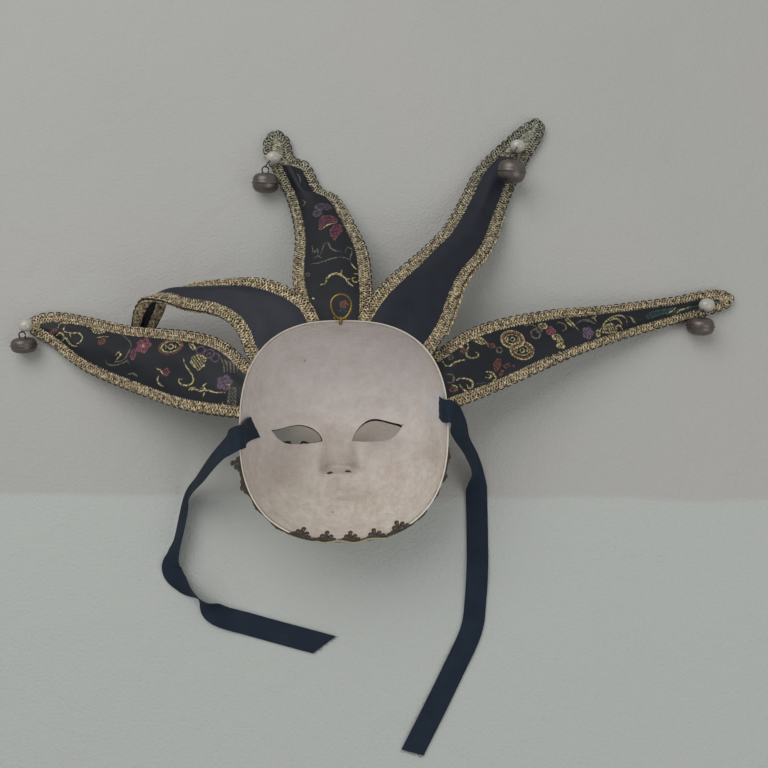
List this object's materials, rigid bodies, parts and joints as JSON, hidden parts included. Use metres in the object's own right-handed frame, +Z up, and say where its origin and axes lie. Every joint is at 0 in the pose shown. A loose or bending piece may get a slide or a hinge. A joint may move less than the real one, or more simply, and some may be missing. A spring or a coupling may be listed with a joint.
{
  "type": "venetian jester mask",
  "caption": "Full-face jester mask lying face down, hollow side up, with bell-tipped cloth horns edged in gold braid, dark tie ribbons and a wire hanging loop.",
  "frame": {"origin": "centre of the bounding box's underside, on the floor the mask lies on", "axes": "+X to the right as the hollow side is seen, +Y from chin to forehead, +Z up off the floor, out of the hollow"},
  "size_m": [0.6273, 0.552, 0.1036],
  "materials": {
    "papier_mache": "matt, pale greige inside and ivory outside, faintly stained",
    "brocade": "black satin brocade woven with gold, magenta and purple motifs",
    "navy_satin": "plain blue-black satin",
    "gold_braid": "antique gold looped braid",
    "gold_cord": "thin light gold cord",
    "bronze": "dark bronzed jingle bells",
    "pearl": "ivory pearl lustre",
    "brass_wire": "bare brass wire",
    "ribbon": "dark navy grosgrain ribbon",
    "lace": "dark bronze metallic lace",
    "black_cord": "thin black cord"
  },
  "bodies": {
    "root": {"face_shell": "papier_mache", "eye_trim_left": "black_cord", "eye_trim_right": "black_cord", "lace_trim": "lace", "chin_cord": "gold_cord", "hanging_loop": "brass_wire", "horn_left": "brocade", "braid_left": "gold_braid", "pearl_left": "pearl", "bell_left": "bronze", "horn_left_curled": "navy_satin", "braid_left_curled": "gold_braid", "pearl_left_curled": "pearl", "bell_left_curled": "bronze", "horn_upper_left": "brocade", "braid_upper_left": "gold_braid", "pearl_upper_left": "pearl", "bell_upper_left": "bronze", "horn_upper_right": "navy_satin", "braid_upper_right": "gold_braid", "pearl_upper_right": "pearl", "bell_upper_right": "bronze", "horn_right": "brocade", "braid_right": "gold_braid", "pearl_right": "pearl", "bell_right": "bronze", "ribbon_left": "ribbon", "ribbon_right": "ribbon"}
  },
  "joints": []
}
